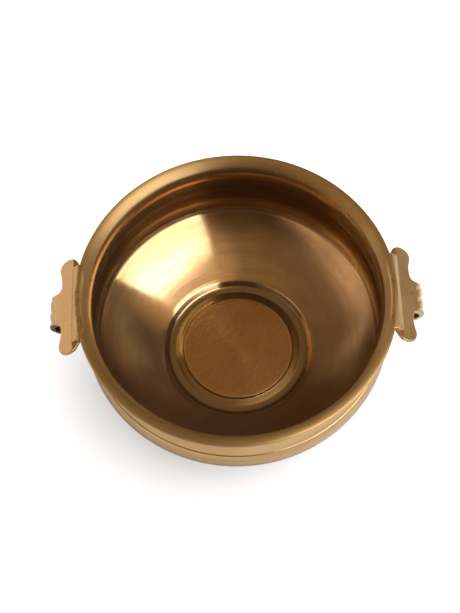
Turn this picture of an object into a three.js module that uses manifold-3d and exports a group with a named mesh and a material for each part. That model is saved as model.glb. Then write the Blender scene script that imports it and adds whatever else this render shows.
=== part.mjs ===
// Brass urli: a wide, shallow cast bowl with a flared rim, turned smooth, with a foot ring
// formed in its bottom and a handle brazed to the rim on each side.
//
// Units are millimetres. Z points up, X runs through both handles, and the origin is the
// centre of the foot ring's flat bottom face.

import * as THREE from 'three';
import { mergeVertices } from 'three/addons/utils/BufferGeometryUtils.js';
import Module from 'manifold-3d';

const wasm = await Module();
wasm.setup();

// ---- Driving dimensions -------------------------------------------------------------

// The bowl's wall, outside face. Angles are in degrees from level, seen from the arc's centre.
const wall = 3.0;
const bellyRadius = 123.9;
const bellyHeight = 60.4;
const shoulderArc = 27;
const shoulderAngle = 22;
const shoulderEnd = 24;
const waistArc = 67;

// The lower wall is nearly a cone: a wide arc, given by its slopes from level at the foot and
// at the turned edge where it meets the shoulder. The edge is eased over part of the way.
const lowerArc = 203;
const lowerCentreX = -13.4;
const lowerCentreZ = 192.6;
const footSlope = 23.3;
const turnSlope = 39.2;
const turnEase = 0.25;

// The flared rim above the neck, its rounded brow inside, and its rounded lip.
const flareArc = 15.5;
const flareAngle = 52;
const browArc = 6.6;
const lipRound = 1.9;
const lipTuck = 100;

// The turned groove round the outside of the shoulder.
const grooveHeight = 72.3;
const grooveDepth = 0.6;
const grooveWidth = 1.6;

// The bottom: a flat foot ring outside, a channel inside it, and a raised disc in the middle.
const footInner = 49.5;
const footOuter = 59.5;
const discUnderside = 3.2;
const discTop = 6.4;
const discRadius = 45.6;
const channelFloor = 3.2;

// A handle: a plate bent along a straight crease, whose outer end curls into a hollow roll.
// Both handles sit a little off the bowl's diameter, towards -Y.
const handleShift = -2.5;
const creaseX = 128.5;
const creaseHeight = 107.2;
const plateThickness = 3.6;
const flangeSlope = 15;
const flangeLength = 12;
const plateSlope = 31;
const plateLength = 18;
const rollRadius = 10;
const boreRadius = 5.5;
const rollHalfLength = 13;
const lobeRadius = 8;
const lobeX = 132;
const lobeY = 33;
const lobeFrom = 150;
const lobeTo = 20;
const notchX = 138.3;
const notchY = 22;
const notchRound = 4;

// The filler metal along the joint of rim and handle.
const fillerCover = 0.6;
const fillerTop = 60;
const fillerBase = 20;
const fillerHalfWidth = 32.5;
const fillerRadius = 131.5;
const fillerDrop = 4.5;

// Clearance between pieces that lie against each other.
const gap = 0.3;

// Facets round the bowl.
const turns = 64;

// ---- Worked out from the driving dimensions -------------------------------------------

const radians = THREE.MathUtils.degToRad;

function polar(centre, radius, degrees) {
  const angle = radians(degrees);
  return new THREE.Vector2(
    centre.x + radius * Math.cos(angle),
    centre.y + radius * Math.sin(angle),
  );
}

const shoulderCentre = new THREE.Vector2(bellyRadius - shoulderArc, bellyHeight);
const waistCentre = polar(shoulderCentre, shoulderArc + waistArc, shoulderAngle);
const lowerCentre = new THREE.Vector2(lowerCentreX, lowerCentreZ);
const neckHeight = waistCentre.y;
const flareCentre = new THREE.Vector2(waistCentre.x - waistArc + flareArc, neckHeight);
const browCentre = polar(flareCentre, flareArc + wall - browArc, 180 - flareAngle);
const lipCentre = new THREE.Vector2(browCentre.x, browCentre.y + browArc - lipRound);
const crease = new THREE.Vector2(creaseX, creaseHeight);
const plateEnd = polar(crease, plateLength, -plateSlope);
const rollCentre = polar(plateEnd, -rollRadius, 90 - plateSlope);

// ---- Helpers --------------------------------------------------------------------------

// Points on an arc in the profile plane, from one angle to another.
function arc(centre, radius, from, to, steps) {
  const points = [];
  for (let i = 0; i <= steps; i += 1) {
    points.push(polar(centre, radius, from + (to - from) * i / steps));
  }
  return points;
}

// A profile of (radius, height) points turned about the Z axis.
function turned(profile) {
  return new THREE.LatheGeometry(profile, turns).rotateX(Math.PI / 2);
}

// An outline in X and Z, drawn out along Y to both sides of the middle.
function acrossY(shape, halfLength, curveSegments) {
  const options = { depth: 2 * halfLength, bevelEnabled: false, curveSegments };
  return new THREE.ExtrudeGeometry(shape, options)
    .translate(0, 0, -halfLength)
    .rotateX(Math.PI / 2);
}

// An outline in X and Y, drawn up along Z.
function upZ(shape, low, high) {
  const options = { depth: high - low, bevelEnabled: false, curveSegments: 14 };
  return new THREE.ExtrudeGeometry(shape, options).translate(0, 0, low);
}

function toSolid(geometry) {
  const bare = geometry.clone();
  bare.deleteAttribute('normal');
  bare.deleteAttribute('uv');
  const merged = mergeVertices(bare);
  return new wasm.Manifold(new wasm.Mesh({
    numProp: 3,
    vertProperties: merged.attributes.position.array,
    triVerts: Uint32Array.from(merged.index.array),
  }));
}

function toGeometry(solid) {
  const mesh = solid.getMesh();
  const geometry = new THREE.BufferGeometry();
  geometry.setAttribute('position', new THREE.BufferAttribute(mesh.vertProperties, 3));
  geometry.setIndex(new THREE.BufferAttribute(mesh.triVerts, 1));
  geometry.computeVertexNormals();
  return geometry;
}

// ---- The bowl -------------------------------------------------------------------------

// The groove's three points on the waist, from below it to above it.
function groovePoints() {
  const middle = 180 + THREE.MathUtils.radToDeg(Math.asin((neckHeight - grooveHeight) / waistArc));
  const half = THREE.MathUtils.radToDeg(grooveWidth / 2 / waistArc);
  return [
    polar(waistCentre, waistArc, middle + half),
    polar(waistCentre, waistArc + grooveDepth, middle),
    polar(waistCentre, waistArc, middle - half),
  ];
}

// The face at one depth of the wall, from the foot up through the turned edge and the
// shoulder. A positive depth is that far inside the outer face.
function belly(depth) {
  const radius = lowerArc - depth;
  const edge = polar(lowerCentre, radius, turnSlope - 90);
  const shoulder = arc(shoulderCentre, shoulderArc - depth, -shoulderEnd, shoulderAngle, 5);
  const before = polar(lowerCentre, radius, turnSlope - 91);
  const after = edge.clone().lerp(shoulder[0], turnEase);
  return [
    ...arc(lowerCentre, radius, footSlope - 90, turnSlope - 91, 4).slice(0, -1),
    ...new THREE.QuadraticBezierCurve(before, edge, after).getPoints(3),
    ...shoulder,
  ];
}

// The outside face from the neck up over the lip. A positive grow gives a face that much
// farther out.
function outsideRim(grow) {
  return [
    ...arc(waistCentre, waistArc - grow, 180 + shoulderAngle / 2, 180, 2),
    ...arc(flareCentre, flareArc - grow, 180, 180 - flareAngle, 5).slice(1),
    ...arc(lipCentre, lipRound + grow, -lipTuck, 90, 7),
  ];
}

// The inside face from the lip down to the crest of the step round the channel.
function insideWall() {
  return [
    ...arc(browCentre, browArc, 90, 180 - flareAngle, 3).slice(1),
    ...arc(flareCentre, flareArc + wall, 180 - flareAngle, 180, 5).slice(1),
    ...arc(waistCentre, waistArc + wall, 180, 180 + shoulderAngle, 3).slice(1, -1),
    ...belly(wall).reverse(),
  ];
}

// The inside of the bottom: the step, the channel over the foot ring, and the raised disc.
function insideBottom() {
  const channel = new THREE.SplineCurve([
    new THREE.Vector2(footOuter + 2.2, 6.6),
    new THREE.Vector2(footOuter, channelFloor + 0.9),
    new THREE.Vector2(footOuter - 4, channelFloor),
    new THREE.Vector2(footInner + 2, channelFloor + 0.2),
    new THREE.Vector2(footInner - 1.4, channelFloor + 1.6),
    new THREE.Vector2(discRadius, discTop - 0.5),
  ]);
  return [
    ...channel.getPoints(7),
    new THREE.Vector2(discRadius - 1.6, discTop),
    new THREE.Vector2(0, discTop),
  ];
}

function underside() {
  return [
    new THREE.Vector2(0, discUnderside),
    new THREE.Vector2(footInner - 5, discUnderside),
    new THREE.Vector2(footInner - 1.6, 1.2),
    new THREE.Vector2(footInner, 0),
    new THREE.Vector2(footOuter, 0),
    new THREE.Vector2(footOuter + 2, 3.4),
  ];
}

function bowlShell() {
  return turned([
    ...underside(),
    ...belly(0),
    ...groovePoints(),
    ...outsideRim(0),
    ...insideWall(),
    ...insideBottom(),
  ]);
}

// The space that the bowl's wall and rim take up, with the clearance round them.
function bowlRoom() {
  const inside = bellyRadius - shoulderArc;
  return toSolid(turned([
    new THREE.Vector2(inside, bellyHeight),
    ...arc(shoulderCentre, shoulderArc + gap, 0, shoulderAngle, 3),
    ...outsideRim(gap),
    new THREE.Vector2(inside, lipCentre.y + 3 * lipRound),
    new THREE.Vector2(inside, bellyHeight),
  ]));
}

// ---- A handle, on the +X side ---------------------------------------------------------

// The bent plate seen along Y. A positive grow makes it that much thicker all round.
function plateSection(grow) {
  const bend = (flangeSlope + plateSlope) / 2;
  const bendDepth = plateThickness / Math.cos(radians(plateSlope - flangeSlope) / 2);
  const inner = polar(crease, flangeLength, 180 - flangeSlope);
  return new THREE.Shape([
    polar(inner, -plateThickness - grow, 90 - flangeSlope),
    polar(crease, -bendDepth - grow, 90 - bend),
    polar(plateEnd, -plateThickness - grow, 90 - plateSlope),
    polar(plateEnd, grow, 90 - plateSlope),
    polar(crease, grow, 90 - bend),
    polar(inner, grow, 90 - flangeSlope),
  ]);
}

// The plate seen from above: a round lobe at each end, a notch beside it, and a broad
// tongue in the middle that leads to the roll.
function plateOutline() {
  const shape = new THREE.Shape();
  const inside = creaseX - flangeLength;
  const tip = plateEnd.x + rollRadius;
  const lobeEnd = polar(new THREE.Vector2(lobeX, lobeY), lobeRadius, -lobeTo);
  shape.moveTo(inside, lobeRadius - lobeY);
  shape.absarc(lobeX, -lobeY, lobeRadius, radians(-lobeFrom), radians(lobeTo), false);
  shape.quadraticCurveTo(notchX, -notchY - notchRound, notchX, -notchY);
  shape.quadraticCurveTo(notchX, -rollHalfLength, notchX + notchRound, -rollHalfLength);
  shape.lineTo(tip, -rollHalfLength);
  shape.lineTo(tip, rollHalfLength);
  shape.lineTo(notchX + notchRound, rollHalfLength);
  shape.quadraticCurveTo(notchX, rollHalfLength, notchX, notchY);
  shape.quadraticCurveTo(notchX, notchY + notchRound, lobeEnd.x, lobeEnd.y);
  shape.absarc(lobeX, lobeY, lobeRadius, radians(-lobeTo), radians(lobeFrom), false);
  shape.lineTo(inside, lobeY - lobeRadius);
  return shape;
}

function rollSection() {
  const shape = new THREE.Shape();
  shape.absarc(rollCentre.x, rollCentre.y, rollRadius, 0, 2 * Math.PI, false);
  const bore = new THREE.Path();
  bore.absarc(rollCentre.x, rollCentre.y, boreRadius, 0, 2 * Math.PI, true);
  shape.holes.push(bore);
  return shape;
}

function plateSolid(grow) {
  const reach = lobeY + 2 * lobeRadius;
  return toSolid(acrossY(plateSection(grow), reach, 1));
}

function handle(room) {
  const outline = toSolid(upZ(plateOutline(), rollCentre.y, lipCentre.y + flangeLength));
  const plate = plateSolid(0).intersect(outline);
  const roll = toSolid(acrossY(rollSection(), rollHalfLength, 24));
  return plate.add(roll).translate([0, handleShift, 0]).subtract(room);
}

// Filler metal that wraps the lip's edge and slopes down to the handle's crease.
function brazeFillet(room) {
  const cover = lipRound + gap + fillerCover;
  const low = creaseHeight - fillerDrop;
  const ring = toSolid(turned([
    new THREE.Vector2(bellyRadius - shoulderArc, low),
    new THREE.Vector2(fillerRadius, low),
    new THREE.Vector2(fillerRadius, creaseHeight),
    ...arc(lipCentre, cover, fillerBase, fillerTop, 4),
    new THREE.Vector2(bellyRadius - shoulderArc, low),
  ]));
  const corner = new THREE.Shape([
    new THREE.Vector2(flareCentre.x - flareArc, low),
    new THREE.Vector2(creaseX + gap, low),
    new THREE.Vector2(creaseX + gap, lipCentre.y + cover),
    new THREE.Vector2(flareCentre.x - flareArc, lipCentre.y + cover),
  ]);
  const reach = toSolid(acrossY(corner, fillerHalfWidth, 1)).translate([0, handleShift, 0]);
  return ring.intersect(reach).subtract(room).subtract(plateBelow());
}

// The handle's plate with the clearance over it, and everything under the plate.
function plateBelow() {
  const depth = 3 * plateThickness;
  const grown = plateSolid(gap);
  return grown.add(grown.translate([0, 0, -plateThickness])).add(grown.translate([0, 0, -depth]));
}

// ---- The object -----------------------------------------------------------------------

function brass(color, roughness) {
  return new THREE.MeshStandardMaterial({ color, roughness, metalness: 1 });
}

function addPiece(parent, name, geometry, material) {
  const mesh = new THREE.Mesh(geometry, material);
  mesh.name = name;
  parent.add(mesh);
}

const bowlBrass = brass(0xa5702f, 0.28);
const handleBrass = brass(0xb98a4e, 0.42);
const fillerBrass = brass(0xb58a44, 0.5);

const urli = new THREE.Group();
addPiece(urli, 'bowl_shell', bowlShell(), bowlBrass);

const room = bowlRoom();
const handleSolid = handle(room);
const filletSolid = brazeFillet(room);
addPiece(urli, 'right_handle', toGeometry(handleSolid), handleBrass);
addPiece(urli, 'right_braze_fillet', toGeometry(filletSolid), fillerBrass);
addPiece(urli, 'left_handle', toGeometry(handleSolid.mirror([1, 0, 0])), handleBrass);
addPiece(urli, 'left_braze_fillet', toGeometry(filletSolid.mirror([1, 0, 0])), fillerBrass);

export default urli;
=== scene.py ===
"""Looks of the brass urli: a turned bowl with two brazed scroll handles.

Lengths are in metres, in the CAD model's frame. Shapes repeat the CAD model's driving
dimensions, given here in its millimetres times MM, with finer surfaces. Angles are in degrees.
"""

import math
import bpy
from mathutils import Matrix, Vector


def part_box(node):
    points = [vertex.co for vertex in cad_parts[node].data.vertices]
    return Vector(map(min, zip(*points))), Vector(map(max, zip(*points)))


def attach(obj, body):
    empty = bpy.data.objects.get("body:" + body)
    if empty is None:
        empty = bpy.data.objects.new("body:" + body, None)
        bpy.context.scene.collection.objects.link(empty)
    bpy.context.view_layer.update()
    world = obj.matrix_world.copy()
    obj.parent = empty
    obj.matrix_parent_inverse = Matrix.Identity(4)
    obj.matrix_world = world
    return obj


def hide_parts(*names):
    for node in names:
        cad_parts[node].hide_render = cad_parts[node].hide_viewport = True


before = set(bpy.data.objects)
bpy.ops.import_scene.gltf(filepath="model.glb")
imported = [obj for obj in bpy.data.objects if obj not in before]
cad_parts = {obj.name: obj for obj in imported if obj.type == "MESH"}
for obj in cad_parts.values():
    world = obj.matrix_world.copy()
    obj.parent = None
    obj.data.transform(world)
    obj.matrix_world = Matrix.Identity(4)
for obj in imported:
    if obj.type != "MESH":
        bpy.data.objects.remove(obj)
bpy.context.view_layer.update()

from types import SimpleNamespace

import bmesh
import bpy
from mathutils import Matrix, Vector, noise

# ---- Driving dimensions -----------------------------------------------------------------

MM = 0.001
bowl_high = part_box("bowl_shell")[1]
RIM_RADIUS = bowl_high.x
LIP_TOP = bowl_high.z

# The bowl's wall. FOOT_SLOPE and INNER_END, the angle where the inner face leaves the
# shoulder's arc, belong to this finer surface. The rest are the CAD model's values.
WALL = 3.0 * MM
SHOULDER_ARC = 27 * MM
SHOULDER_ANGLE = 22
WAIST_ARC = 67 * MM
SHOULDER_END = 24
INNER_END = 5
TURN_SLOPE = 39.2
FOOT_SLOPE = 23
LOWER_ARC = 203 * MM
LOWER_CENTRE = (-13.4 * MM, 192.6 * MM)
FLARE_ARC = 15.5 * MM
FLARE_ANGLE = 52
BROW_ARC = 6.6 * MM
LIP_ROUND = 1.9 * MM
DISC_TOP = 6.4 * MM
UNDERSIDE = 3.2 * MM

# A handle's plate and roll. The flange lies flatter than in the CAD model, and the roll is
# 0.4 mm longer at each end. The rest are the CAD model's values.
HANDLE_SHIFT = -2.5 * MM
CREASE_X = 128.5 * MM
CREASE_HEIGHT = 107.2 * MM
PLATE_THICKNESS = 3.6 * MM
FLANGE_SLOPE = 8
PLATE_SLOPE = 31
PLATE_LENGTH = 18 * MM
ROLL_RADIUS = 10 * MM
BORE_RADIUS = 5.5 * MM
ROLL_HALF_LENGTH = 13.4 * MM
LOBE_RADIUS = 8 * MM
LOBE_X = 132 * MM
LOBE_Y = 33 * MM
LOBE_FROM = 150
LOBE_TO = 20
NOTCH_X = 138.3 * MM
NOTCH_Y = 22 * MM
NOTCH_ROUND = 4 * MM
WELD_HALF_WIDTH = 32.5 * MM

# Fineness of the visual surfaces.
TURNS = 384
ARC_STEP = 0.7 * MM
VOXEL = 0.42 * MM


# ---- Profile geometry ---------------------------------------------------------------------

def polar(centre, radius, degrees):
    angle = math.radians(degrees)
    return (centre[0] + radius * math.cos(angle), centre[1] + radius * math.sin(angle))


def arc(centre, radius, start, end, step=ARC_STEP):
    """Points along an arc, about one step apart."""
    length = abs(math.radians(end - start)) * abs(radius)
    count = max(4, int(length / step))
    return [polar(centre, radius, start + (end - start) * i / count) for i in range(count + 1)]


def rounded(corners, step=0.35 * MM):
    """A line through corners given as (r, z, fillet radius), each turned into an arc."""
    points = [corners[0][:2]]
    for before, here, after in zip(corners, corners[1:], corners[2:]):
        corner = Vector(here[:2])
        back = (Vector(before[:2]) - corner).normalized()
        ahead = (Vector(after[:2]) - corner).normalized()
        half = back.angle(ahead) / 2
        reach = here[2] / math.tan(half)
        start = corner + back * reach
        end = corner + ahead * reach
        centre = corner + (back + ahead).normalized() * (here[2] / math.sin(half))
        count = max(3, int((math.pi - 2 * half) * here[2] / step))
        for i in range(count + 1):
            spoke = (start - centre).lerp(end - centre, i / count)
            points.append(tuple(centre + spoke.normalized() * here[2]))
    points.append(corners[-1][:2])
    return points


def solve_centres():
    """Arc centres, from the belly up to the lip, so that the lip ends at the CAD model's rim."""
    shoulder = (0.0, 0.0)
    waist = polar(shoulder, SHOULDER_ARC + WAIST_ARC, SHOULDER_ANGLE)
    flare = (waist[0] - WAIST_ARC + FLARE_ARC, waist[1])
    brow = polar(flare, FLARE_ARC + WALL - BROW_ARC, 180 - FLARE_ANGLE)
    lip = (brow[0], brow[1] + BROW_ARC - LIP_ROUND)
    shift = (RIM_RADIUS - LIP_ROUND - lip[0], LIP_TOP - LIP_ROUND - lip[1])
    names = ("shoulder", "waist", "flare", "brow", "lip")
    centres = (shoulder, waist, flare, brow, lip)
    return {name: (c[0] + shift[0], c[1] + shift[1]) for name, c in zip(names, centres)}


CENTRE = solve_centres()


def groove():
    """The turned groove round the outside of the shoulder."""
    height, width, depth = 72.3 * MM, 1.3 * MM, 0.55 * MM
    middle = 180 + math.degrees(math.asin((CENTRE["waist"][1] - height) / WAIST_ARC))
    half = math.degrees(width / 2 / WAIST_ARC)
    points = []
    for i in range(-6, 7):
        t = i / 6
        dip = depth * 0.5 * (1 + math.cos(math.pi * t))
        points.append(polar(CENTRE["waist"], WAIST_ARC + dip, middle - half * t))
    return points, middle + half, middle - half


def turning_ridges(points):
    """Raises faint rings inside the shoulder, where the turning tool stepped."""
    heights = [41.5 * MM, 44 * MM, 46.3 * MM, 49 * MM, 78.5 * MM, 84 * MM]
    rise, spread = 0.08 * MM, 0.6 * MM
    raised = []
    for r, z in points:
        lift = sum(math.exp(-((z - h) / spread) ** 2) for h in heights)
        raised.append((r - rise * lift, z))
    return raised


def lower_point(radius, tilt):
    """A point of the nearly conical lower wall where its slope is the tilt in degrees."""
    return polar(LOWER_CENTRE, radius, tilt - 90)


def outer_profile():
    """From the underside's centre over the foot ring, cone, shoulder and neck up to the lip."""
    foot = [
        (0, UNDERSIDE, 0),
        (45.5 * MM, UNDERSIDE, 2.0 * MM),
        (49.2 * MM, 0, 1.2 * MM),
        (59.8 * MM, 0, 1.4 * MM),
        (61.6 * MM, 3.6 * MM, 1.0 * MM),
        lower_point(LOWER_ARC, FOOT_SLOPE) + (0,),
    ]
    cone = 11
    turn = [
        lower_point(LOWER_ARC, FOOT_SLOPE + cone) + (0,),
        lower_point(LOWER_ARC, TURN_SLOPE) + (14 * MM,),
        polar(CENTRE["shoulder"], SHOULDER_ARC, -SHOULDER_END) + (0,),
    ]
    ring, below, above = groove()
    points = rounded(foot)[:-1]
    points += [lower_point(LOWER_ARC, FOOT_SLOPE + cone * i / 20) for i in range(1, 20)]
    points += rounded(turn)
    points += arc(CENTRE["shoulder"], SHOULDER_ARC, -SHOULDER_END, SHOULDER_ANGLE)[1:-1]
    points += [polar(CENTRE["waist"], WAIST_ARC, (below + 180 + SHOULDER_ANGLE) / 2)]
    points += ring
    points += arc(CENTRE["waist"], WAIST_ARC, above, 180)[1:-1]
    points += arc(CENTRE["flare"], FLARE_ARC, 180, 180 - FLARE_ANGLE)
    return points


def inner_profile():
    """From the rim's brow down the neck, shoulder and cone to where the floor's bend begins."""
    points = arc(CENTRE["brow"], BROW_ARC, 90, 180 - FLARE_ANGLE, 0.4 * MM)[1:-1]
    points += arc(CENTRE["flare"], FLARE_ARC + WALL, 180 - FLARE_ANGLE, 180)
    points += arc(CENTRE["waist"], WAIST_ARC + WALL, 180, 180 + SHOULDER_ANGLE, 0.4 * MM)[1:]
    points += arc(CENTRE["shoulder"], SHOULDER_ARC - WALL, SHOULDER_ANGLE, INNER_END, 0.4 * MM)[1:]
    slope, cone = TURN_SLOPE - 0.4, 15
    turn = [
        points.pop() + (0,),
        (122.2 * MM, 45.1 * MM, 21 * MM),
        lower_point(LOWER_ARC - WALL, slope) + (0,),
    ]
    points += rounded(turn)
    points += [lower_point(LOWER_ARC - WALL, slope - cone * i / 90) for i in range(1, 91)]
    return points


def floor_profile(start):
    """From the end of the cone down into the channel, up onto the disc and in to the axis."""
    corners = [
        start + (0,),
        lower_point(LOWER_ARC - WALL, 23.4) + (3.0 * MM,),
        (62.9 * MM, 7.5 * MM, 4.2 * MM),
        (58.8 * MM, 3.6 * MM, 5.0 * MM),
        (53.4 * MM, 3.1 * MM, 6.0 * MM),
        (50.6 * MM, 4.1 * MM, 0.9 * MM),
        (47.2 * MM, 4.9 * MM, 1.6 * MM),
        (46.0 * MM, DISC_TOP, 0.55 * MM),
        (0, DISC_TOP, 0),
    ]
    disc = [(45 * MM * (1 - i / 24), DISC_TOP) for i in range(2, 24)]
    return rounded(corners)[:-1] + disc + [(0, DISC_TOP)]


def bowl_profile():
    """(r, z) points from the underside's centre round the outside, over the lip and down inside."""
    lip = arc(CENTRE["lip"], LIP_ROUND, -100, 90, 0.25 * MM)
    inside = inner_profile()
    floor_start = inside.pop()
    return outer_profile() + lip + turning_ridges(inside) + floor_profile(floor_start)


# ---- Mesh helpers ---------------------------------------------------------------------------

def new_piece(name, vertices, faces):
    """A smooth-shaded piece from its points and faces."""
    mesh = bpy.data.meshes.new(name)
    mesh.from_pydata([tuple(v) for v in vertices], [], faces)
    mesh.validate()
    mesh.polygons.foreach_set("use_smooth", [True] * len(mesh.polygons))
    mesh.update()
    piece = bpy.data.objects.new(name, mesh)
    bpy.context.scene.collection.objects.link(piece)
    return piece


def face_out(piece):
    """Turns every face of a closed mesh outwards."""
    shape = bmesh.new()
    shape.from_mesh(piece.data)
    bmesh.ops.recalc_face_normals(shape, faces=shape.faces)
    shape.to_mesh(piece.data)
    shape.free()


def turned(name, profile):
    """A profile that starts and ends on the axis, turned about Z."""
    rows = profile[1:-1]
    angles = [2 * math.pi * i / TURNS for i in range(TURNS)]
    vertices = [(0, 0, profile[0][1]), (0, 0, profile[-1][1])]
    for r, z in rows:
        vertices += [(r * math.cos(a), r * math.sin(a), z) for a in angles]
    faces = []
    last = 2 + (len(rows) - 1) * TURNS
    for i in range(TURNS):
        j = (i + 1) % TURNS
        faces.append((0, 2 + j, 2 + i))
        faces.append((1, last + i, last + j))
        for k in range(len(rows) - 1):
            a = 2 + k * TURNS
            b = a + TURNS
            faces.append((a + i, a + j, b + j, b + i))
    piece = new_piece(name, vertices, faces)
    face_out(piece)
    return piece


def apply_modifiers(piece):
    graph = bpy.context.evaluated_depsgraph_get()
    mesh = bpy.data.meshes.new_from_object(piece.evaluated_get(graph))
    piece.modifiers.clear()
    old = piece.data
    piece.data = mesh
    bpy.data.meshes.remove(old)


def join_parts(name, parts):
    """Closed shapes that overlap, made one skin with softened edges, as a casting has."""
    shape = bmesh.new()
    for part in parts:
        shape.from_mesh(part.data)
        bpy.data.objects.remove(part)
    mesh = bpy.data.meshes.new(name)
    shape.to_mesh(mesh)
    shape.free()
    piece = bpy.data.objects.new(name, mesh)
    bpy.context.scene.collection.objects.link(piece)
    remesh = piece.modifiers.new("skin", "REMESH")
    remesh.mode = "VOXEL"
    remesh.voxel_size = VOXEL
    soften = piece.modifiers.new("soften", "SMOOTH")
    soften.factor = 0.5
    soften.iterations = 9
    apply_modifiers(piece)
    for face in piece.data.polygons:
        face.use_smooth = True
    return piece


# ---- The handle -----------------------------------------------------------------------------

def slope(degrees):
    return math.tan(math.radians(degrees))


plate_end = polar((CREASE_X, CREASE_HEIGHT), PLATE_LENGTH, -PLATE_SLOPE)
roll_centre = polar(plate_end, -ROLL_RADIUS, 90 - PLATE_SLOPE)


def plate_top(x):
    """Height of the plate's top face: nearly level inside the crease, steeper outside it."""
    if x < CREASE_X:
        return CREASE_HEIGHT + (CREASE_X - x) * slope(FLANGE_SLOPE)
    return CREASE_HEIGHT - (x - CREASE_X) * slope(PLATE_SLOPE)


def bezier(a, b, c, count=8):
    points = []
    for i in range(1, count + 1):
        t = i / count
        points.append(tuple((1 - t) ** 2 * p + 2 * t * (1 - t) * q + t * t * r
                            for p, q, r in zip(a, b, c)))
    return points


def plate_outline():
    """The plate from above: half of it on +Y, then the same mirrored."""
    buried = 121.2 * MM
    inner_y = LOBE_Y - LOBE_RADIUS
    lobe = arc((LOBE_X, LOBE_Y), LOBE_RADIUS, LOBE_FROM, -LOBE_TO, 0.6 * MM)
    notch = (NOTCH_X, NOTCH_Y)
    half = [(math.sqrt(buried ** 2 - inner_y ** 2), inner_y)]
    half += lobe
    half += bezier(lobe[-1], (NOTCH_X, NOTCH_Y + NOTCH_ROUND), notch)
    half += bezier(notch, (NOTCH_X, ROLL_HALF_LENGTH), (NOTCH_X + NOTCH_ROUND, ROLL_HALF_LENGTH))
    half += [(plate_end[0], ROLL_HALF_LENGTH)]
    mirrored = [(x, -y) for x, y in reversed(half)]
    inner = []
    for i in range(1, 16):
        y = inner_y * (i / 8 - 1)
        inner.append((math.sqrt(buried ** 2 - y * y), y))
    return half + mirrored + inner


def plate_part():
    """The bent plate as a closed shape, cut into strips across the bend."""
    shape = bmesh.new()
    corners = [shape.verts.new((x, y, 0)) for x, y in plate_outline()]
    shape.faces.new(corners)
    cuts = [CREASE_X + d * MM for d in (-0.6, 0, 0.6)]
    for x in cuts:
        geometry = list(shape.verts) + list(shape.edges) + list(shape.faces)
        bmesh.ops.bisect_plane(shape, geom=geometry, plane_co=(x, 0, 0), plane_no=(1, 0, 0))
    for vertex in shape.verts:
        vertex.co.z = plate_top(vertex.co.x)
    top = list(shape.faces)
    grown = bmesh.ops.extrude_face_region(shape, geom=top)["geom"]
    for item in grown:
        if isinstance(item, bmesh.types.BMVert):
            item.co.z -= PLATE_THICKNESS / math.cos(math.radians(PLATE_SLOPE))
    bmesh.ops.recalc_face_normals(shape, faces=shape.faces)
    mesh = bpy.data.meshes.new("plate")
    shape.to_mesh(mesh)
    shape.free()
    return bpy.data.objects.new("plate", mesh)


def ridge(y, angle):
    """Depth of the slanting grooves round the roll's outer face, in metres."""
    pitch, depth, slant = 9.8 * MM, 1.1 * MM, 5.5 * MM
    along = (y + slant * math.radians(angle) + 2 * MM) / pitch
    step = along - math.floor(along)
    cut = math.exp(-((step - 0.5) / 0.12) ** 2) + 0.25 * step
    facing = max(0.0, math.cos(math.radians((angle + 25) * 0.8))) if -130 < angle < 80 else 0.0
    return depth * cut * facing ** 0.6


def roll_part():
    """The hollow roll: a thick tube along Y with slanting grooves on its outer face."""
    around, along = 120, 80
    end_round = 1.4 * MM
    stations = [-ROLL_HALF_LENGTH + 2 * ROLL_HALF_LENGTH * i / along for i in range(along + 1)]
    rings = []
    for y in stations:
        from_end = min(end_round, ROLL_HALF_LENGTH - abs(y))
        inset = end_round - math.sqrt(max(0.0, end_round ** 2 - (end_round - from_end) ** 2))
        ring = []
        for i in range(around):
            angle = 360 * i / around - 180
            radius = ROLL_RADIUS - inset - ridge(y, angle)
            x, z = polar(roll_centre, radius, angle)
            ring.append((x, y, z))
        rings.append(ring)
    for y in (stations[-1], stations[0]):
        ring = []
        for i in range(around):
            x, z = polar(roll_centre, BORE_RADIUS, 360 * i / around - 180)
            ring.append((x, y, z))
        rings.append(ring)
    vertices = [v for ring in rings for v in ring]
    faces = []
    for k in range(len(rings)):
        a = k * around
        b = ((k + 1) % len(rings)) * around
        for i in range(around):
            j = (i + 1) % around
            faces.append((a + i, a + j, b + j, b + i))
    piece = new_piece("roll", vertices, faces)
    face_out(piece)
    return piece


def put_at_side(piece, side):
    """Shifts a piece made for the right side into place, or mirrors it to the left."""
    piece.data.transform(Matrix.Translation((0, HANDLE_SHIFT, 0)))
    if side == "left":
        piece.data.transform(Matrix.Scale(-1, 4, (1, 0, 0)))
        face_out(piece)
    return piece


def handle(side):
    piece = join_parts(side + "_handle_cast", [plate_part(), roll_part()])
    return put_at_side(piece, side)


# ---- The brazed joint -------------------------------------------------------------------------

def fillet_section(y):
    """The filler's cut at one place along the joint, as (x, z) points."""
    def at_radius(r):
        return math.sqrt(r * r - (y + HANDLE_SHIFT) ** 2)

    ease = min(1.0, max(0.0, (abs(y) - 20 * MM) / (WELD_HALF_WIDTH - 20 * MM)))
    ease = ease * ease * (3 - 2 * ease)
    lip_edge = at_radius(RIM_RADIUS)
    brow = polar(CENTRE["brow"], BROW_ARC, 134 - 40 * ease)
    start = (at_radius(brow[0]), brow[1] - 0.1 * MM)
    end_x = max(CREASE_X, lip_edge) + 1.0 * MM
    end = (end_x, plate_top(end_x) - 0.1 * MM)
    full = (at_radius(125.6 * MM), 115.2 * MM)
    lean = (lip_edge + 0.8 * MM, LIP_TOP + 0.9 * MM)
    control = tuple(f + (n - f) * ease for f, n in zip(full, lean))
    top = [start] + bezier(start, control, end, 20)
    buried = [
        (CREASE_X, CREASE_HEIGHT - 1.5 * MM),
        (at_radius(121.5 * MM), CREASE_HEIGHT),
        (at_radius(brow[0] + 0.5 * MM), brow[1] - 1.2 * MM),
    ]
    return top, buried


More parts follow.
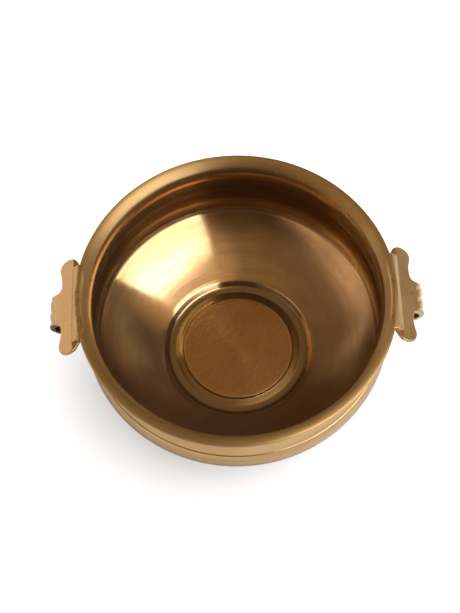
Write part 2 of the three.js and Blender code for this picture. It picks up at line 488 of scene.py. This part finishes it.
def braze_fillet(side):
    """Filler metal from the rim's brow over the lip to the handle's crease, slightly lumpy."""
    along = 150
    lump_size = 0.10 * MM
    vertices = []
    for i in range(along + 1):
        y = WELD_HALF_WIDTH * (2 * i / along - 1)
        top, buried = fillet_section(y)
        last = len(top) - 1
        for k, (x, z) in enumerate(top):
            middle = math.sin(math.pi * k / last)
            lump = noise.fractal((x * 700, y * 700, z * 700), 0.6, 2.2, 4)
            push = lump_size * middle * lump
            vertices.append((x + push * 0.5, y, z + push))
        vertices += [(x, y, z) for x, z in buried]
    size = len(vertices) // (along + 1)
    faces = []
    for i in range(along):
        for k in range(size):
            a = i * size
            b = a + size
            n = (k + 1) % size
            faces.append((a + k, a + n, b + n, b + k))
    faces.append(tuple(range(size)))
    faces.append(tuple(range(along * size, (along + 1) * size)))
    piece = new_piece(side + "_braze", vertices, faces)
    face_out(piece)
    return put_at_side(piece, side)


# ---- Materials ------------------------------------------------------------------------------

class Nodes:
    """A small helper that adds and joins a material's nodes."""

    def __init__(self, name):
        self.material = bpy.data.materials.new(name)
        self.material.use_nodes = True
        self.tree = self.material.node_tree
        self.shader = self.tree.nodes["Principled BSDF"]

    def add(self, kind, **settings):
        node = self.tree.nodes.new(kind)
        for key, value in settings.items():
            setattr(node, key, value)
        return node

    def feed(self, socket, value):
        if isinstance(value, bpy.types.NodeSocket):
            self.tree.links.new(value, socket)
        else:
            socket.default_value = value

    def math(self, operation, a, b=0.0, c=0.0):
        node = self.add("ShaderNodeMath", operation=operation)
        for socket, value in zip(node.inputs, (a, b, c)):
            self.feed(socket, value)
        return node.outputs[0]

    def vector(self, x, y, z):
        node = self.add("ShaderNodeCombineXYZ")
        for socket, value in zip(node.inputs, (x, y, z)):
            self.feed(socket, value)
        return node.outputs[0]

    def noise(self, vector, scale, detail=3.0, rough=0.5, w=None):
        node = self.add("ShaderNodeTexNoise", noise_dimensions="3D" if w is None else "4D")
        self.feed(node.inputs["Vector"], vector)
        if w is not None:
            self.feed(node.inputs["W"], w)
        node.inputs["Scale"].default_value = scale
        node.inputs["Detail"].default_value = detail
        node.inputs["Roughness"].default_value = rough
        return node.outputs["Fac"]

    def range(self, value, low, high, out_low=0.0, out_high=1.0, smooth=True):
        node = self.add("ShaderNodeMapRange", clamp=True)
        if smooth:
            node.interpolation_type = "SMOOTHSTEP"
        for socket, number in zip(node.inputs, (value, low, high, out_low, out_high)):
            self.feed(socket, number)
        return node.outputs[0]

    def mix(self, factor, a, b):
        node = self.add("ShaderNodeMix", data_type="RGBA")
        self.feed(node.inputs["Factor"], factor)
        self.feed(node.inputs["A"], a)
        self.feed(node.inputs["B"], b)
        return node.outputs["Result"]

    def blend(self, factor, a, b):
        node = self.add("ShaderNodeMix")
        for socket, value in zip(node.inputs[:4], (factor, None, a, b)):
            if value is not None:
                self.feed(socket, value)
        return node.outputs[0]

    def bump(self, height, distance, strength=1.0, normal=None):
        node = self.add("ShaderNodeBump")
        node.inputs["Strength"].default_value = strength
        node.inputs["Distance"].default_value = distance
        self.feed(node.inputs["Height"], height)
        if normal is not None:
            self.feed(node.inputs["Normal"], normal)
        return node.outputs["Normal"]


# Brass tones, as linear colours.
OUTSIDE = (0.55, 0.335, 0.135, 1)
OUTSIDE_PALE = (0.60, 0.395, 0.185, 1)
INSIDE = (0.485, 0.35, 0.195, 1)
INSIDE_BROWN = (0.405, 0.265, 0.135, 1)
RIM_GOLD = (0.52, 0.36, 0.155, 1)
DISC_GOLD = (0.46, 0.27, 0.115, 1)
DISC_BROWN = (0.38, 0.205, 0.085, 1)
CHANNEL_OLIVE = (0.23, 0.165, 0.085, 1)
# Painted shade: this brown darkens the lower cone below the shoulder's bend, inside and out, in place of
# dimmer reflections there.
PAINTED_SHADE_BROWN = (0.28, 0.175, 0.085, 1)
SATIN = (0.56, 0.39, 0.20, 1)
SATIN_PALE = (0.62, 0.43, 0.23, 1)
SATIN_BROWN = (0.38, 0.23, 0.10, 1)
FILED = (0.57, 0.385, 0.165, 1)
CAST_DARK = (0.10, 0.075, 0.05, 1)


def place(nodes):
    """Object coordinates in metres, with the distance from the axis and its direction."""
    where = nodes.add("ShaderNodeTexCoord").outputs["Object"]
    split = nodes.add("ShaderNodeSeparateXYZ")
    nodes.feed(split.inputs[0], where)
    x, y, z = split.outputs
    squares = nodes.math("ADD", nodes.math("MULTIPLY", x, x), nodes.math("MULTIPLY", y, y))
    radius = nodes.math("SQRT", squares)
    safe = nodes.math("MAXIMUM", radius, 0.001)
    cosine = nodes.math("DIVIDE", x, safe)
    sine = nodes.math("DIVIDE", y, safe)
    return where, x, y, z, radius, cosine, sine


def turned_streaks(n, x, y, degrees, across, along):
    """Coordinates that draw a noise out into streaks at an angle in X and Y."""
    c, s = math.cos(math.radians(degrees)), math.sin(math.radians(degrees))
    u = n.math("ADD", n.math("MULTIPLY", x, c), n.math("MULTIPLY", y, s))
    v = n.math("SUBTRACT", n.math("MULTIPLY", y, c), n.math("MULTIPLY", x, s))
    return n.vector(n.math("MULTIPLY", u, along), n.math("MULTIPLY", v, across), 0.0)


def turned_patterns(n):
    """The noises and masks that the turned brass's colour, roughness and bumps share."""
    where, x, y, z, radius, cosine, sine = place(n)

    def rings(per_metre, around, detail):
        """Noise drawn out round the axis."""
        spot = n.vector(n.math("MULTIPLY", radius, per_metre), n.math("MULTIPLY", z, per_metre),
                        n.math("MULTIPLY", cosine, around))
        return n.noise(spot, 1.0, detail, 0.6, n.math("MULTIPLY", sine, around))

    scratch_a = n.noise(turned_streaks(n, x, y, 24, 1500.0, 45.0), 1.0, 3.0, 0.6)
    scratch_b = n.noise(turned_streaks(n, x, y, 62, 1100.0, 60.0), 1.0, 3.0, 0.6)
    swap = n.range(n.noise(where, 45.0, 2.0), 0.44, 0.56)

    split = n.add("ShaderNodeSeparateXYZ")
    n.feed(split.inputs[0], n.add("ShaderNodeNewGeometry").outputs["Normal"])
    outward = n.math("ADD", n.math("MULTIPLY", split.outputs[0], cosine),
                     n.math("MULTIPLY", split.outputs[1], sine))

    on_rim = n.range(z, 104.0 * MM, 108.5 * MM)
    low = n.range(z, 4.2 * MM, 8.0 * MM, 1.0, 0.0)
    outer_cone = n.range(radius, 94.0 * MM, 111.0 * MM)
    middle = n.range(n.math("ABSOLUTE", y), 36.0 * MM, 26.0 * MM)
    return SimpleNamespace(
        bands=rings(170.0, 1.3, 3.0),
        lines=rings(900.0, 0.8, 4.0),
        hairs=rings(3200.0, 2.5, 2.0),
        smears=n.noise(where, 26.0, 4.0, 0.55),
        clouds=n.noise(where, 11.0, 3.0, 0.5),
        specks=n.noise(where, 700.0, 3.0, 0.6),
        waves=n.noise(where, 70.0, 3.0, 0.5),
        scratches=n.blend(swap, scratch_a, scratch_b),
        inside=n.range(outward, 0.12, -0.02),
        on_rim=on_rim,
        on_disc=n.range(radius, 44.0 * MM, 46.0 * MM, 1.0, 0.0),
        in_channel=n.math("MULTIPLY", low, n.range(radius, 46.0 * MM, 48.0 * MM)),
        # Mask for the painted shade: the lower cone, below the shoulder's bend.
        painted_shade_below_bend=n.math("MULTIPLY", outer_cone, n.range(z, 39.0 * MM, 38.0 * MM)),
        steep_wall=n.range(z, 40.0 * MM, 52.0 * MM),
        beside_handle=n.math("MULTIPLY", on_rim, middle),
    )


def turned_tone(n, p):
    """Colour: browner in bands and turned lines, gold on the rim, dark in the channel, with painted shade
    on the lower cone below the shoulder's bend.
    """
    wall = n.mix(n.range(p.clouds, 0.35, 0.65), OUTSIDE, OUTSIDE_PALE)
    inner = n.mix(n.range(p.smears, 0.42, 0.68), INSIDE, INSIDE_BROWN)
    tone = n.mix(p.inside, wall, inner)
    tone = n.mix(n.range(p.bands, 0.42, 0.68, 0.0, 0.8), tone, INSIDE_BROWN)
    drawn = n.math("MULTIPLY", p.inside, n.range(p.lines, 0.45, 0.7, 0.0, 0.65))
    tone = n.mix(drawn, tone, INSIDE_BROWN)
    rubbed = n.math("MULTIPLY", p.on_rim, n.range(p.specks, 0.35, 0.6, 0.6, 0.9))
    tone = n.mix(rubbed, tone, RIM_GOLD)
    tone = n.mix(n.math("MULTIPLY", p.in_channel, 0.85), tone, CHANNEL_OLIVE)
    # Painted shade: the lower cone below the shoulder's bend is darkened towards a brown, standing in for
    # dimmer reflections.
    tone = n.mix(n.math("MULTIPLY", p.painted_shade_below_bend, 0.8), tone, PAINTED_SHADE_BROWN)
    brushed = n.mix(n.range(p.scratches, 0.38, 0.62), DISC_BROWN, DISC_GOLD)
    brushed = n.mix(n.range(p.smears, 0.45, 0.65, 0.0, 0.6), brushed, DISC_BROWN)
    return n.mix(p.on_disc, tone, brushed)


def turned_roughness(n, p):
    """Roughness: nearly polished inside, duller on the disc, dullest on the rubbed rim."""
    rough = n.range(p.smears, 0.3, 0.7, 0.10, 0.15)
    rough = n.math("ADD", rough, n.range(p.bands, 0.4, 0.7, 0.0, 0.05))
    disc_haze = n.math("MULTIPLY", p.on_disc, n.range(p.scratches, 0.35, 0.65, 0.04, 0.12))
    rough = n.math("ADD", rough, disc_haze)
    rim_haze = n.math("MULTIPLY", p.on_rim, n.range(p.specks, 0.4, 0.65, 0.30, 0.36))
    rough = n.math("ADD", rough, rim_haze)
    return n.math("ADD", rough, n.math("MULTIPLY", p.beside_handle, 0.06))


def turned_bumps(n, p):
    """Bumps: tool lines all over, scratches on the disc, pits beside the handles, slow waves."""
    height = n.math("ADD", n.math("MULTIPLY", p.lines, 0.6), n.math("MULTIPLY", p.hairs, 0.4))
    normal = n.bump(height, distance=0.06 * MM, strength=0.35)
    normal = n.bump(n.math("MULTIPLY", p.hairs, p.steep_wall), 0.08 * MM, 0.5, normal)
    normal = n.bump(n.math("MULTIPLY", p.scratches, p.on_disc), 0.05 * MM, 0.5, normal)
    normal = n.bump(n.math("MULTIPLY", p.specks, p.beside_handle), 0.09 * MM, 0.5, normal)
    return n.bump(p.waves, 0.3 * MM, 0.05, normal)


def turned_brass():
    """Brass turned on a lathe and rubbed by hand: rings, smears, and a brushed disc."""
    n = Nodes("turned_brass")
    patterns = turned_patterns(n)
    n.feed(n.shader.inputs["Base Color"], turned_tone(n, patterns))
    n.feed(n.shader.inputs["Roughness"], turned_roughness(n, patterns))
    n.feed(n.shader.inputs["Normal"], turned_bumps(n, patterns))
    n.shader.inputs["Metallic"].default_value = 0.98
    n.shader.inputs["Anisotropic"].default_value = 0.85
    n.shader.inputs["Anisotropic Rotation"].default_value = 0.25
    tangent = n.add("ShaderNodeTangent", direction_type="RADIAL", axis="Z")
    n.feed(n.shader.inputs["Tangent"], tangent.outputs[0])
    return n.material


def satin_brass(name, tone_a, tone_b, speckle):
    """Brass sanded by hand, with raw dark metal on the near end of the left roll.

    The speckle is how pitted it is, from 0 to 1.
    """
    n = Nodes(name)
    where, x, y, z = place(n)[:4]
    clouds = n.noise(where, 60.0, 3.0, 0.55)
    grain = n.noise(turned_streaks(n, x, y, 80, 1800.0, 130.0), 1.0, 3.0, 0.6)
    pits = n.noise(where, 900.0, 3.0, 0.65)
    geometry = n.add("ShaderNodeNewGeometry")
    edges = n.range(geometry.outputs["Pointiness"], 0.51, 0.56)
    hollows = n.range(geometry.outputs["Pointiness"], 0.49, 0.44)

    tone = n.mix(n.range(clouds, 0.35, 0.65), tone_a, tone_b)
    tone = n.mix(n.range(grain, 0.55, 0.75, 0.0, 0.25), tone, SATIN_BROWN)
    tone = n.mix(n.math("MULTIPLY", hollows, 0.3), tone, SATIN_BROWN)
    tone = n.mix(n.math("MULTIPLY", edges, 0.5), tone, SATIN_PALE)
    near_end = n.range(y, -14.6 * MM, -15.2 * MM)
    left_roll = n.math("MULTIPLY", n.range(x, -130.0 * MM, -131.0 * MM), n.range(z, 98.0 * MM, 97.0 * MM))
    tone = n.mix(n.math("MULTIPLY", n.math("MULTIPLY", near_end, left_roll), 0.85), tone, CAST_DARK)
    n.feed(n.shader.inputs["Base Color"], tone)

    rough = n.range(clouds, 0.3, 0.7, 0.24, 0.36)
    rough = n.math("ADD", rough, n.range(pits, 0.5, 0.7, 0.0, 0.15 * speckle))
    n.feed(n.shader.inputs["Roughness"], rough)

    normal = n.bump(grain, distance=0.06 * MM, strength=0.6)
    normal = n.bump(pits, 0.3 * MM, 0.15 + 0.75 * speckle, normal)
    n.feed(n.shader.inputs["Normal"], normal)
    n.shader.inputs["Metallic"].default_value = 1.0
    return n.material


def paper_white():
    """The floor: nearly white, with a glow that only the camera sees, so that shadows stay light."""
    n = Nodes("paper_white")
    n.shader.inputs["Base Color"].default_value = (0.43, 0.45, 0.48, 1)
    n.shader.inputs["Roughness"].default_value = 0.9
    n.shader.inputs["Emission Color"].default_value = (1, 1, 1, 1)
    sees_camera = n.add("ShaderNodeLightPath").outputs["Is Camera Ray"]
    n.feed(n.shader.inputs["Emission Strength"], n.math("MULTIPLY", sees_camera, 0.53))
    return n.material


# ---- Pieces -----------------------------------------------------------------------------------

def finish_piece(piece, node, material):
    piece.data.materials.clear()
    piece.data.materials.append(material)
    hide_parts(node)
    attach(piece, "root")


def build_object():
    bowl = turned("bowl_turned", bowl_profile())
    finish_piece(bowl, "bowl_shell", turned_brass())
    satin = satin_brass("satin_brass", SATIN, SATIN_PALE, 0.15)
    filed = satin_brass("filed_brass", FILED, SATIN, 1.0)
    for side in ("right", "left"):
        finish_piece(handle(side), side + "_handle", satin)
        finish_piece(braze_fillet(side), side + "_braze_fillet", filed)


# ---- Stage, light and camera --------------------------------------------------------------------

def direction(azimuth, elevation):
    """Unit vector towards a place round the object: azimuth from +X, anticlockwise."""
    a, e = math.radians(azimuth), math.radians(elevation)
    return Vector((math.cos(e) * math.cos(a), math.cos(e) * math.sin(a), math.sin(e)))


def add_floor():
    half = 6.0
    floor = new_piece("floor", [(-half, -half, 0), (half, -half, 0), (half, half, 0), (-half, half, 0)],
                      [(0, 1, 2, 3)])
    floor.data.materials.append(paper_white())


def add_window(azimuth, distance, left, right, bottom, top, radiance):
    """An upright soft light for the brass alone, kept off the floor.

    Left and right are metres sideways from the point at the azimuth and the distance.
    """
    width, height = right - left, top - bottom
    light = bpy.data.lights.new("window", "AREA")
    light.shape = "RECTANGLE"
    light.size = width
    light.size_y = height
    light.energy = radiance * math.pi * width * height
    light.color = (1.0, 0.985, 0.95)
    lamp = bpy.data.objects.new("window", light)
    across = direction(azimuth + 90, 0) * ((left + right) / 2)
    lamp.location = direction(azimuth, 0) * distance + across + Vector((0, 0, (bottom + top) / 2))
    lamp.rotation_euler = direction(azimuth, 0).to_track_quat("Z", "Y").to_euler()
    lamp.visible_diffuse = False
    bpy.context.scene.collection.objects.link(lamp)


def add_overhead(azimuth, elevation, distance, size, radiance):
    """A high soft light for the floor alone, kept out of the brass."""
    light = bpy.data.lights.new("overhead", "AREA")
    light.shape = "DISK"
    light.size = size
    light.energy = radiance * math.pi * math.pi * size * size / 4
    lamp = bpy.data.objects.new("overhead", light)
    towards = direction(azimuth, elevation)
    lamp.location = towards * distance
    lamp.rotation_euler = towards.to_track_quat("Z", "Y").to_euler()
    lamp.visible_glossy = False
    bpy.context.scene.collection.objects.link(lamp)


# The room that the brass reflects, as linear colours.
ROOM_DARK = (0.10, 0.066, 0.04, 1)
ROOM_WARM = (0.40, 0.265, 0.13, 1)
ROOM_LEFT = (0.26, 0.165, 0.09, 1)
SLANTED_CARD = (1.6, 1.22, 1.0, 1)
LEFT_CARD = (1.25, 1.0, 0.82, 1)
RIGHT_CARD = (0.46, 0.37, 0.28, 1)
WINDOW_GLOW = (1.2, 0.85, 0.55, 1)
GLOW_SHARE = 0.8
WHITE = (1, 1, 1, 1)


def add_world():
    """A dim warm room, dark low down, with pale cards on both sides. The camera sees white.

    The ranges are parts of the unit vector that points away from the object.
    """
    world = bpy.data.worlds.new("studio")
    bpy.context.scene.world = world
    world.use_nodes = True
    n = Nodes.__new__(Nodes)
    n.tree = world.node_tree
    towards = n.add("ShaderNodeTexCoord").outputs["Generated"]
    split = n.add("ShaderNodeSeparateXYZ")
    n.feed(split.inputs[0], towards)
    x, y, z = split.outputs

    def both(mask_a, mask_b):
        return n.math("MULTIPLY", mask_a, mask_b)

    room = n.mix(n.range(z, 0.58, 0.93), ROOM_DARK, ROOM_WARM)
    room = n.mix(n.range(x, -0.35, -0.7), room, ROOM_LEFT)

    top_edge = n.math("MULTIPLY_ADD", x, 0.67, n.math("MULTIPLY_ADD", y, 0.45, z))
    low_edge = n.math("MULTIPLY_ADD", x, 0.35, n.math("MULTIPLY_ADD", y, 0.59, z))
    slanted = both(n.range(x, -0.3, -0.4), n.range(top_edge, 0.015, -0.015))
    room = n.mix(both(slanted, n.range(low_edge, -0.015, 0.015)), room, SLANTED_CARD)

    left = both(n.range(x, -0.5, -0.65), n.range(y, -0.15, 0.1))
    room = n.mix(both(left, n.range(z, 0.50, 0.36)), room, LEFT_CARD)
    right = both(n.range(x, 0.55, 0.75), n.range(z, 0.62, 0.46))
    room = n.mix(right, room, RIGHT_CARD)

    around_window = n.add("ShaderNodeVectorMath", operation="DOT_PRODUCT")
    n.feed(around_window.inputs[0], towards)
    around_window.inputs[1].default_value = direction(-30, 55)
    glow = n.range(around_window.outputs["Value"], 0.80, 0.97)
    room = n.mix(both(glow, GLOW_SHARE), room, WINDOW_GLOW)

    sees_camera = n.add("ShaderNodeLightPath").outputs["Is Camera Ray"]
    n.feed(n.tree.nodes["Background"].inputs[0], n.mix(sees_camera, room, WHITE))


def add_camera():
    """At the photograph's viewing angle, turned slightly off the rim's centre and rolled."""
    elevation = 63.85
    distance = 8.213 * RIM_RADIUS
    pan, tilt, roll = 0.278, -0.537, 2.15
    sensor, lens = 36, 78.1
    rim_centre = Vector((0, 0, CENTRE["lip"][1]))
    back = direction(-90, elevation)
    right = Vector((1, 0, 0))
    up = back.cross(right)
    camera = bpy.data.cameras.new("camera")
    camera.sensor_width = sensor
    camera.lens = lens
    camera.clip_start = 0.05
    holder = bpy.data.objects.new("camera", camera)
    facing = Matrix((right, up, back)).transposed().to_4x4()
    nudge = (Matrix.Rotation(math.radians(roll), 4, "Z")
             @ Matrix.Rotation(math.radians(-tilt), 4, "X")
             @ Matrix.Rotation(math.radians(-pan), 4, "Y"))
    holder.matrix_world = Matrix.Translation(rim_centre + back * distance) @ facing @ nudge.inverted()
    bpy.context.scene.collection.objects.link(holder)
    bpy.context.scene.camera = holder


bpy.context.scene.view_settings.view_transform = "Standard"
build_object()
add_floor()
add_world()
add_window(azimuth=-45, distance=1.2, left=-0.51, right=1.08, bottom=0.72, top=1.96, radiance=5.0)
add_overhead(azimuth=32, elevation=62, distance=1.6, size=3.0, radiance=4.9)
add_camera()
